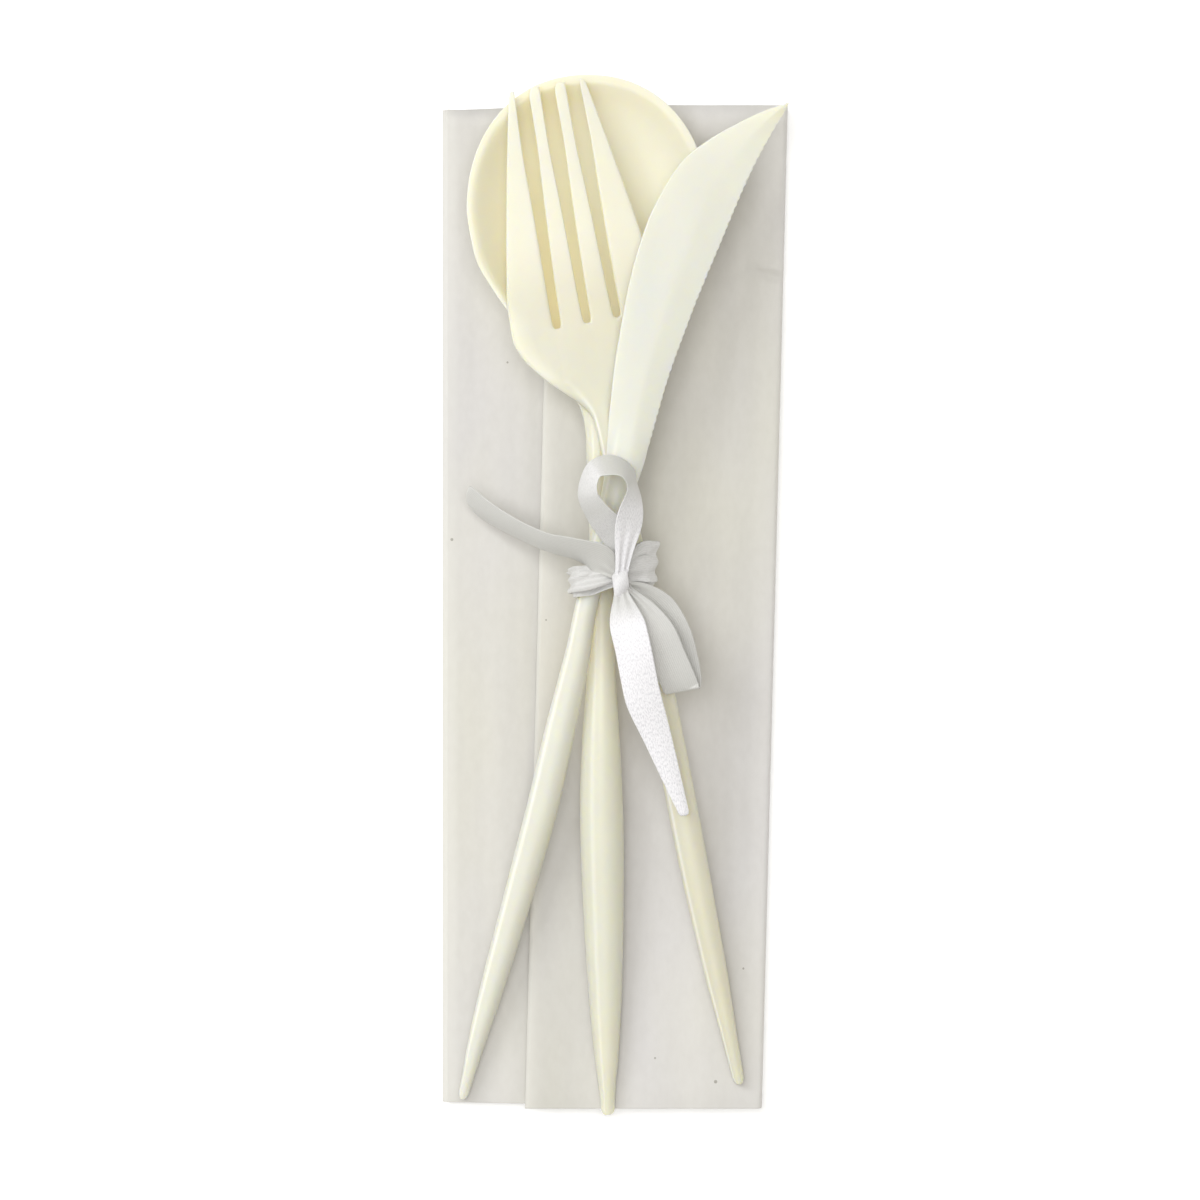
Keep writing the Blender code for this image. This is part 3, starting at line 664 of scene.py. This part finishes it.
def pair_section():
    """Closed outline of a pair of layers, as (share along Y, distance past the near edge, offset, back).

    back is 1 on the layer whose far edge stands back from the other's."""
    outer = LAYER_OFFSET + LAYER_THICK / 2
    inner = LAYER_OFFSET - LAYER_THICK / 2
    along = sorted(spread(0.0, 1.0, 56) + spread(0.803, 0.863, 24), reverse=True)
    outline = [(share, 0.0, outer, 0) for share in along]
    for turn in spread(0, math.pi, 7)[1:-1]:
        outline.append((0.0, outer * math.sin(turn), outer * math.cos(turn), 0))
    outline += [(share, 0.0, -outer, 1) for share in reversed(along)]
    outline += [(share, 0.0, -inner, 1) for share in along]
    outline += [(0.0, inner, 0.0, 0)]
    outline += [(share, 0.0, inner, 0) for share in reversed(along)]
    return outline


def napkin_point(spot, reach, along, past, back):
    """A point of the folded sheet, from its place on the Z and on the outline of a pair of layers."""
    share, shift, z, normal = spot
    level = z + normal[1] * reach
    near = NAPKIN_NEAR[0] + (NAPKIN_NEAR[1] - NAPKIN_NEAR[0]) * share - past
    far = NAPKIN_FAR[0] + (NAPKIN_FAR[1] - NAPKIN_FAR[0]) * share
    far -= SET_BACK * back * (1 - ease(share * 1.6)) + 0.25 * MM * math.sin(9 * share + level / PITCH)
    y = near + (far - near) * along
    right = NAPKIN_RIGHT[0] + (NAPKIN_RIGHT[1] - NAPKIN_RIGHT[0]) * along
    outward = 1 if share > 0.5 else -1
    x = NAPKIN_LEFT + (right - NAPKIN_LEFT) * share + shift + normal[0] * reach * outward
    return x, y, level + undulation(x, y) * ease(level / (2.2 * MM))


def edge_highlight_share(x, y, from_edge):
    """How much painted highlight the tissue gets: along the flap's free edge, where it catches the light,
    and along the rounded fold at its left.
    """
    wander = 0.75 + 0.25 * math.sin(y / (9 * MM))
    return 0.7 * bell(from_edge, 0.3 * MM, 1.1 * MM) * wander + 0.45 * bell(x, -28.0 * MM, 1.7 * MM)


def napkin_path():
    """The sheet's way through its folds: along the upper pair of layers and back along the lower."""
    upper = fold_line(0.0)
    lower = fold_line(EDGE_SPLIT)
    path = [(spot, PAIR_OFFSET) for spot in reversed(upper)]
    share, shift, z, _ = upper[0]
    for turn in spread(0, math.pi, 7)[1:-1]:
        spot = (share, shift + PAIR_OFFSET * math.sin(turn), z, (0.0, 1.0))
        path.append((spot, PAIR_OFFSET * math.cos(turn)))
    return path + [(spot, -PAIR_OFFSET) for spot in lower], len(upper)


def make_napkin(finish):
    path, turned = napkin_path()
    section = pair_section()
    points = []
    edge_highlights = []
    for step, (spot, offset) in enumerate(path):
        facing = 1 if step < turned else -1
        from_edge = min(step, len(path) - 1 - step) * FLAP_WIDTH / 55
        for along, past, side, back in section:
            point = napkin_point(spot, offset + facing * side, along, past, back)
            points.append(point)
            edge_highlights.append(edge_highlight_share(point[0], point[1], from_edge))
    count = len(section)
    faces = [tuple(range(count)), tuple(range(len(points) - count, len(points)))]
    for step in range(len(path) - 1):
        for i in range(count):
            j = (i + 1) % count
            a = step * count
            faces.append((a + i, a + j, a + count + j, a + count + i))
    folded = add_object("folded_napkin", points, faces, finish)
    mark(folded, "edge_highlight", edge_highlights)
    return folded


# --- ribbon ---

RIBBON_WIDE = 6.0 * MM
RIBBON_THICK = 0.16 * MM
TIE_Y = 3.2 * MM
PINCHED = 0.34  # the share of its width that is left in the knot
PINCH_REACH = 0.2
TIE_MIDDLE_Z = 11.2 * MM


def through(points, count):
    """A smooth open curve through a few points, as evenly stepped points."""
    points = np.array(points, float) * MM
    padded = np.vstack([2 * points[0] - points[1], points, 2 * points[-1] - points[-2]])
    made = []
    for place_on in spread(0, len(points) - 1, count):
        i = min(int(place_on), len(points) - 2)
        t = place_on - i
        a, b, c, d = padded[i:i + 4]
        made.append(0.5 * (2 * b + (c - a) * t + (2 * a - 5 * b + 4 * c - d) * t**2
                           + (3 * b - a - 3 * c + d) * t**3))
    return np.array(made)


def pinch(t, ends, reach):
    """The share of the ribbon's width left at t, 0 to 1 along it: its pinched ends go into the knot."""
    room = min(t if ends[0] else 1.0, 1 - t if ends[1] else 1.0) / reach
    return PINCHED + (1 - PINCHED) * ease(room)


def ribbon_strip(name, route, lean, count, ends, finish, cup=0.0, cut=(1.0, 0.0), face_and_painted_sheen=((0, 0),),
                 reach=PINCH_REACH, closed=False):
    """A flat ribbon along a route, with its width along each lean, cupped, and pleated where it narrows.

    A slanting cut starts at the share cut[0] of its length and takes the share cut[1] of its width."""
    across = 15
    pleat = 0.35
    centres = np.array(route) if closed else through(route, count)
    leans = np.array(lean, float) if closed else through(lean, count)
    count = len(centres)
    runs = np.linalg.norm(np.diff(centres, axis=0), axis=1)
    lengths = np.concatenate([[0.0], np.cumsum(runs)])
    points = []
    flat = []
    for i, centre in enumerate(centres):
        before = centres[(i - 1) % count if closed else max(i - 1, 0)]
        after = centres[(i + 1) % count if closed else min(i + 1, count - 1)]
        along = (after - before) / np.linalg.norm(after - before)
        width = leans[i] - along * np.dot(leans[i], along)
        width /= np.linalg.norm(width)
        face = np.cross(along, width)
        share = 1.0 if closed else pinch(i / (count - 1), ends, reach)
        folds = (1 - share) * pleat * MM
        for layer in (1, -1):
            for side in spread(-1, 1, across)[::layer]:
                lift = cup * MM * (side * side - 0.33) * share
                lift += folds * math.sin(side * 2.5 * math.pi)
                lift += layer * RIBBON_THICK / 2 * (1 + 0.35 * ease((abs(side) - 0.86) / 0.1))
                taken = cut[1] * (max(0.0, i / (count - 1) - cut[0]) / max(1 - cut[0], 0.001)) ** 1.6
                kept = 1 - (1 - side) * (1 - taken)
                points.append(centre + width * kept * RIBBON_WIDE / 2 * share + face * lift)
                flat.append((kept * RIBBON_WIDE / 2 / MM, lengths[i] / MM))
    ring = 2 * across
    faces = [] if closed else [tuple(range(ring)), tuple(range(ring * (count - 1), ring * count))]
    for i in range(count if closed else count - 1):
        for k in range(ring):
            a = ring * i
            b = ring * ((i + 1) % count)
            m = (k + 1) % ring
            faces.append((a + k, a + m, b + m, b + k))
    strip = add_object(name, points, faces, finish)
    lay_flat(strip, flat)
    # Painted sheen along the strip: partly which face shows, partly painted sheen and painted shade.
    layer = strip.data.attributes.new("face_and_painted_sheen", "FLOAT", "POINT")
    for k, value in enumerate(layer.data):
        value.value = np.interp(k // ring / (count - 1), *zip(*face_and_painted_sheen))
    subdivide(strip, 1)
    return strip


def lay_flat(obj, flat):
    """Keeps each point's place on the flat ribbon, in millimetres, as its UV."""
    layer = obj.data.uv_layers.new(name="flat")
    for loop in obj.data.loops:
        layer.data[loop.index].uv = flat[loop.vertex_index]


# The tie's outline in XZ, in millimetres, drawn round the three shanks.
TIE_CORNERS = ((-6.9, 12.0), (-5.9, 14.6), (-2.6, 15.3), (1.4, 15.0), (4.8, 13.9), (6.1, 11.8), (5.4, 9.9),
               (1.2, 8.3), (-3.0, 7.0), (-5.3, 7.9), (-6.4, 9.9))


def closed_through(corners, count):
    corners = np.array(corners, float)
    made = []
    total = len(corners)
    for place_on in spread(0, total, count + 1)[:-1]:
        i = int(place_on)
        t = place_on - i
        a, b, c, d = (corners[(i + k) % total] for k in (-1, 0, 1, 2))
        made.append(0.5 * (2 * b + (c - a) * t + (2 * a - 5 * b + 4 * c - d) * t**2
                           + (3 * b - a - 3 * c + d) * t**3))
    return np.array(made)


def make_tie(finish):
    """Two turns of ribbon round the shanks, bunched and creased where they press on each other."""
    outline = closed_through(TIE_CORNERS, 120)
    turns = []
    for name, shift, grow, tilt in (("tie_inner", -0.9, 0.0, 0.10), ("tie_outer", 0.7, 0.45, -0.16)):
        route = []
        lean = []
        for i, (x, z) in enumerate(outline):
            turn = 2 * math.pi * i / len(outline)
            away = Vector((x, z - TIE_MIDDLE_Z / MM)).normalized()
            ripple = grow + 0.12 * math.sin(5 * turn) + 0.08 * math.sin(11 * turn + 1.0)
            y = TIE_Y / MM + 0.5 + shift + 0.2 * x
            y += 2.4 * tilt * math.cos(turn) + 0.25 * math.sin(4 * turn)
            route.append(np.array((x + away.x * ripple, y, z + away.y * ripple)) * MM)
            lean.append((0.15 * math.sin(3 * turn), 1.0, 0.25 * math.sin(4 * turn + shift)))
        band = ribbon_strip(name, route, lean, 0, (False, False), finish, face_and_painted_sheen=TIE_SHINE, closed=True)
        squeeze_band(band)
        turns.append(band)
    return turns


def squeeze_band(band):
    """Presses a turn of the tie together along the shanks and throws it into pleats."""
    for point in band.data.vertices:
        slope = 0.5 + 0.2 * point.co.x / MM
        y = point.co.y / MM - TIE_Y / MM - slope
        turn = math.atan2(point.co.z - TIE_MIDDLE_Z, point.co.x)
        squeeze = 0.62 + 0.10 * math.sin(3 * turn) + 0.45 * ease(point.co.x / (6 * MM))
        pleats = 0.30 * math.sin(2.4 * y + 1.3 * math.sin(2 * turn)) * MM
        point.co.y = (TIE_Y / MM + slope + y * squeeze) * MM
        point.co.x += math.cos(turn) * pleats
        point.co.z += math.sin(turn) * pleats


# The routes below are in millimetres, and each lean goes with the point of its route.
RING_LOOP = ((0.8, 3.0, 15.6), (0.9, 6.9, 16.6), (0.1, 10.2, 17.6), (-2.4, 12.9, 18.7), (-4.6, 16.6, 19.4),
             (-3.7, 20.6, 19.7), (-0.9, 21.6, 19.8), (1.8, 20.6, 19.8), (3.0, 17.6, 19.8),
             (2.6, 13.6, 19.5), (1.7, 9.0, 18.9), (0.9, 3.0, 17.0))
RING_LEAN = ((1, 0, 0.2), (1, 0.3, 0.3), (0.9, 0.8, 0.7), (0.8, 0.7, 1.1), (0.9, 0.1, 1.4),
             (0.55, -0.6, 1.4), (0.1, -0.9, 1.3), (-0.4, -0.6, 1.5), (-0.5, 0, 1.5), (-1.1, 0, 1.1),
             (-1.2, 0, 0.4), (-1, 0, 0.2))
SIDE_LOOP = ((1.4, 1.4, 16.2), (4.4, -1.8, 16.6), (6.9, -6.0, 16.4), (8.7, -10.2, 15.7),
             (10.2, -13.6, 14.9), (11.0, -15.3, 13.9), (11.2, -13.8, 12.9), (10.6, -10.2, 12.9),
             (9.4, -6.0, 13.4), (7.2, -2.2, 13.9), (4.2, 0.6, 14.6), (1.4, 1.8, 15.2))
SIDE_LEAN = ((1, 0.8, 0), (1, 0.7, 0), (1, 0.55, 0.1), (1, 0.45, 0.15), (1, 0.3, 0.15), (1, 0.2, 0.15),
             (1, 0.25, 0.1), (1, 0.3, 0), (1, 0.45, 0), (1, 0.8, 0), (1, 1.1, 0), (1, 1.0, 0))
LEFT_TAIL = ((1.0, 3.2, 16.0), (-2.4, 6.0, 16.9), (-6.6, 7.6, 16.2), (-10.8, 8.6, 14.0),
             (-15.2, 10.5, 11.2), (-20.0, 13.2, 8.4), (-24.6, 16.4, 6.4))
LEFT_LEAN = ((0.4, 1, 0.2), (0.4, 1, 0.7), (0.25, 0.95, 1.5), (0.25, 0.9, 1.9), (0.35, 0.8, 1.9),
             (0.35, 0.8, 1.6), (0.4, 0.8, 1.2))
FRONT_TAIL = ((0.7, 2.0, 16.8), (1.5, -2.6, 18.2), (2.9, -8.6, 18.4), (4.3, -15.6, 17.3),
              (6.3, -23.4, 15.2), (9.3, -36.4, 12.6))
FRONT_LEAN = ((1, 0.2, 0), (1, 0.2, 0.1), (1, 0.2, 0.15), (1, 0.3, 0.1), (1, 0.35, 0.05), (1, 0.35, 0))
KNOT_WRAP = ((0.0, 4.2, 15.2), (0.3, 4.3, 16.8), (0.8, 2.9, 17.9), (1.4, 1.2, 17.7), (1.8, 0.0, 16.4),
             (1.7, 0.2, 15.0))
KNOT_LEAN = ((1, 0.3, 0), (1, 0.3, 0), (1, 0.35, 0), (1, 0.4, 0), (1, 0.5, 0), (1, 0.5, 0))
KNOT_MIDDLE_X = 0.8 * MM
KNOT_SHARE = 0.42  # of the ribbon's width, folded in where it wraps the knot

# How bright the satin is painted, as (share along the strip, brightness): partly which face of the ribbon
# shows, partly painted sheen and painted shade.
TIE_SHINE = ((0, 0.25), (1, 0.25))
RING_SHINE = ((0, 0.1), (0.24, 0.4), (0.3, 0.15), (0.4, 0.4), (0.46, 0.55), (0.52, 0.15), (0.58, 0.0),
              (0.7, 0.0), (0.8, 0.7), (1, 0.9))
SIDE_SHINE = ((0, 0.1), (1, 0.0))
LEFT_SHINE = ((0, 0.0), (1, 0.0))
FRONT_SHINE = ((0, 0.1), (0.16, 0.25), (0.28, 1.0), (1, 1.0))
KNOT_SHINE = ((0, 0.5), (1, 0.9))


def make_ribbon(finish):
    strips = make_tie(finish)
    strips.append(ribbon_strip("ring_loop", RING_LOOP, RING_LEAN, 110, (True, True), finish,
                               cup=0.25, face_and_painted_sheen=RING_SHINE))
    strips.append(ribbon_strip("side_loop", SIDE_LOOP, SIDE_LEAN, 110, (True, True), finish,
                               cup=-0.3, face_and_painted_sheen=SIDE_SHINE))
    strips.append(ribbon_strip("left_tail", LEFT_TAIL, LEFT_LEAN, 60, (True, False), finish,
                               cup=0.4, cut=(0.92, 0.35), face_and_painted_sheen=LEFT_SHINE))
    strips.append(ribbon_strip("front_tail", FRONT_TAIL, FRONT_LEAN, 80, (True, False), finish,
                               cup=-0.35, cut=(0.62, 0.74), reach=0.3, face_and_painted_sheen=FRONT_SHINE))
    knot = ribbon_strip("knot_wrap", KNOT_WRAP, KNOT_LEAN, 30, (False, False), finish,
                        cup=-0.5, face_and_painted_sheen=KNOT_SHINE)
    for point in knot.data.vertices:
        point.co.x = KNOT_MIDDLE_X + (point.co.x - KNOT_MIDDLE_X) * KNOT_SHARE
    strips.append(knot)
    return strips


# --- tissue and satin ---

# Specks in the tissue, as (x, y, radius) in millimetres.
SPECKS = ((-27.0, 9.5, 0.245), (-11.4, -3.8, 0.154), (-17.8, 38.8, 0.175), (21.2, -61.4, 0.175),
          (6.6, -76.2, 0.175), (16.6, -80.1, 0.28))
SPECK_DARK = (0.22, 0.20, 0.16)
# Painted highlight colour for the flap's free edge and the fold at the left.
EDGE_HIGHLIGHT_COLOUR = (0.80, 0.785, 0.72)


def tissue(name):
    """Soft white tissue: pressed fibres, faint clouds, a few specks, and painted highlights along the
    flap's edge and the left fold.
    """
    nodes = Nodes(name)
    clouds = nodes.noise(28, 3, stretch=(1, 0.45, 1))
    base = nodes.ramp(clouds, [(0.36, (0.668, 0.652, 0.592)), (0.62, (0.645, 0.628, 0.618))])
    fibres = nodes.noise(900, 5, stretch=(1, 0.55, 1))
    fibre_colour = nodes.ramp(fibres, [(0.3, (0.55, 0.53, 0.48)), (0.7, (0.78, 0.77, 0.73))])
    base = nodes.mix(0.10, base, fibre_colour)
    streaks = nodes.noise(120, 2, stretch=(1, 0.05, 1))
    streak_colour = nodes.ramp(streaks, [(0.35, (0.93,) * 3), (0.65, (1.03,) * 3)])
    base = nodes.mix(1.0, base, streak_colour, "MULTIPLY")
    # Painted highlight along the flap's free edge and the left fold.
    edge_highlight = nodes.add("ShaderNodeAttribute", attribute_name="edge_highlight")
    base = nodes.mix(nodes.maths("MULTIPLY", edge_highlight.outputs["Fac"], 0.75), base, EDGE_HIGHLIGHT_COLOUR)
    position = nodes.coordinates((1, 1, 0))
    dark = 0.0
    for x, y, radius in SPECKS:
        away = nodes.add("ShaderNodeVectorMath", operation="DISTANCE")
        nodes.join(position, away.inputs[0])
        away.inputs[1].default_value = (x * MM, y * MM, 0.0)
        spot = nodes.maths("LESS_THAN", away.outputs["Value"], radius * MM)
        dark = nodes.maths("MAXIMUM", spot, dark)
    base = nodes.mix(nodes.maths("MULTIPLY", dark, 0.6), base, SPECK_DARK)
    nodes.join(base, nodes.shader.inputs["Base Color"])
    pressed = nodes.bump(nodes.noise(420, 3), 0.00010, 0.35)
    nodes.join(nodes.bump(fibres, 0.00004, 0.5, pressed), nodes.shader.inputs["Normal"])
    nodes.set(Roughness=0.95, Sheen_Weight=0.15, Sheen_Roughness=0.6, Specular_IOR_Level=0.2)
    return nodes.material


def satin(name):
    """White ribbon woven from fine threads, painted brighter or duller along each strip: partly its bright
    satin face and dull back, partly painted sheen and painted shade.
    """
    nodes = Nodes(name)
    threads = nodes.add("ShaderNodeTexWave", wave_type="BANDS", bands_direction="X", wave_profile="SIN")
    threads.inputs["Scale"].default_value = 0.95
    threads.inputs["Distortion"].default_value = 0.6
    nodes.join(nodes.coordinates((1, 1, 1), "UV"), threads.inputs["Vector"])
    floats = nodes.noise(1.0, 3, stretch=(5.0, 2.0, 1), space="UV")
    weave = nodes.maths("MULTIPLY", threads.outputs["Fac"], floats)
    bright = nodes.ramp(floats, [(0.36, (0.72, 0.712, 0.735)), (0.56, (0.90, 0.888, 0.91))])
    dull = nodes.ramp(weave, [(0.05, (0.555, 0.55, 0.52)), (0.5, (0.605, 0.60, 0.575))])
    # Mixes from the dull colour to the bright one: partly for the satin face, partly as painted sheen and
    # painted shade.
    face_and_painted_sheen = nodes.add("ShaderNodeAttribute", attribute_name="face_and_painted_sheen")
    colour = nodes.mix(face_and_painted_sheen.outputs["Fac"], dull, bright)
    nodes.join(colour, nodes.shader.inputs["Base Color"])
    rough = nodes.ramp(floats, [(0.35, (0.30,) * 3), (0.65, (0.50,) * 3)])
    nodes.join(rough, nodes.shader.inputs["Roughness"])
    nodes.join(nodes.bump(weave, 0.00006, 0.7), nodes.shader.inputs["Normal"])
    nodes.set(Sheen_Weight=0.15, Sheen_Roughness=0.35, Anisotropic=0.5)
    return nodes.material


# --- floor, light and camera ---


FLOOR_HALF = 1.5
FLOOR_Z = -0.2 * MM
VIEW_WIDE = 197.4 * MM  # what the camera takes in at the height it is aimed at
VIEW_MIDDLE = (-2.5 * MM, -0.5 * MM)
VIEW_HEIGHT = 8 * MM


def make_floor():
    corners = [(-FLOOR_HALF, -FLOOR_HALF), (FLOOR_HALF, -FLOOR_HALF), (FLOOR_HALF, FLOOR_HALF),
               (-FLOOR_HALF, FLOOR_HALF)]
    floor = add_object("floor", [(x, y, FLOOR_Z) for x, y in corners], [(0, 1, 2, 3)], floor_paint())


def floor_paint():
    nodes = Nodes("floor_paint")
    nodes.set(Base_Color=(0.93, 0.93, 0.93, 1.0), Roughness=0.9, Specular_IOR_Level=0.1,
              Emission_Color=(1.0, 1.0, 1.0, 1.0), Emission_Strength=0.22)
    return nodes.material


def add_light(name, size, power, colour, place_at):
    """A square lamp aimed at the middle of the pack."""
    lamp = bpy.data.lights.new(name, "AREA")
    lamp.color = colour
    lamp.shape = "SQUARE"
    lamp.size = size
    lamp.energy = power
    obj = bpy.data.objects.new(name, lamp)
    obj.location = place_at
    obj.rotation_euler = (-Vector(place_at)).to_track_quat("-Z", "Y").to_euler()
    bpy.context.scene.collection.objects.link(obj)


def make_lights():
    world = bpy.data.worlds.new("studio")
    world.use_nodes = True
    background = world.node_tree.nodes["Background"]
    background.inputs["Color"].default_value = (1.0, 0.975, 0.915, 1.0)
    background.inputs["Strength"].default_value = 0.487
    bpy.context.scene.world = world
    add_light("key", 0.8, 9.1, (0.96, 0.985, 1.0), (-0.95, 0.62, 1.0))
    add_light("overhead", 0.9, 9.8, (0.985, 0.99, 1.0), (-0.1, 0.1, 1.4))


def make_camera():
    """Straight down, from far enough away that the tall pieces barely grow."""
    camera = bpy.data.cameras.new("camera")
    camera.lens = 200
    camera.sensor_width = 36
    camera.clip_end = 10
    obj = bpy.data.objects.new("camera", camera)
    distance = VIEW_WIDE * camera.lens / camera.sensor_width
    obj.location = (*VIEW_MIDDLE, distance + VIEW_HEIGHT)
    obj.rotation_euler = (0, 0, 0)
    bpy.context.scene.collection.objects.link(obj)
    bpy.context.scene.camera = obj
    bpy.context.scene.view_settings.view_transform = "Standard"


def show(piece, node):
    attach(piece, "root")
    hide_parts(node)


show(make_spoon(cream_plastic("spoon_plastic", (0.725, 0.710, 0.605), 0.40)), "spoon")
show(make_fork(cream_plastic("fork_plastic", (0.675, 0.662, 0.555), 0.40)), "fork")
show(make_knife(cream_plastic("knife_plastic", (0.705, 0.710, 0.655), 0.42)), "knife")
napkin = make_napkin(tissue("napkin_tissue"))
show(napkin, "napkin")
for strip in make_ribbon(satin("ribbon_satin")):
    show(strip, "ribbon")
make_floor()
make_lights()
make_camera()
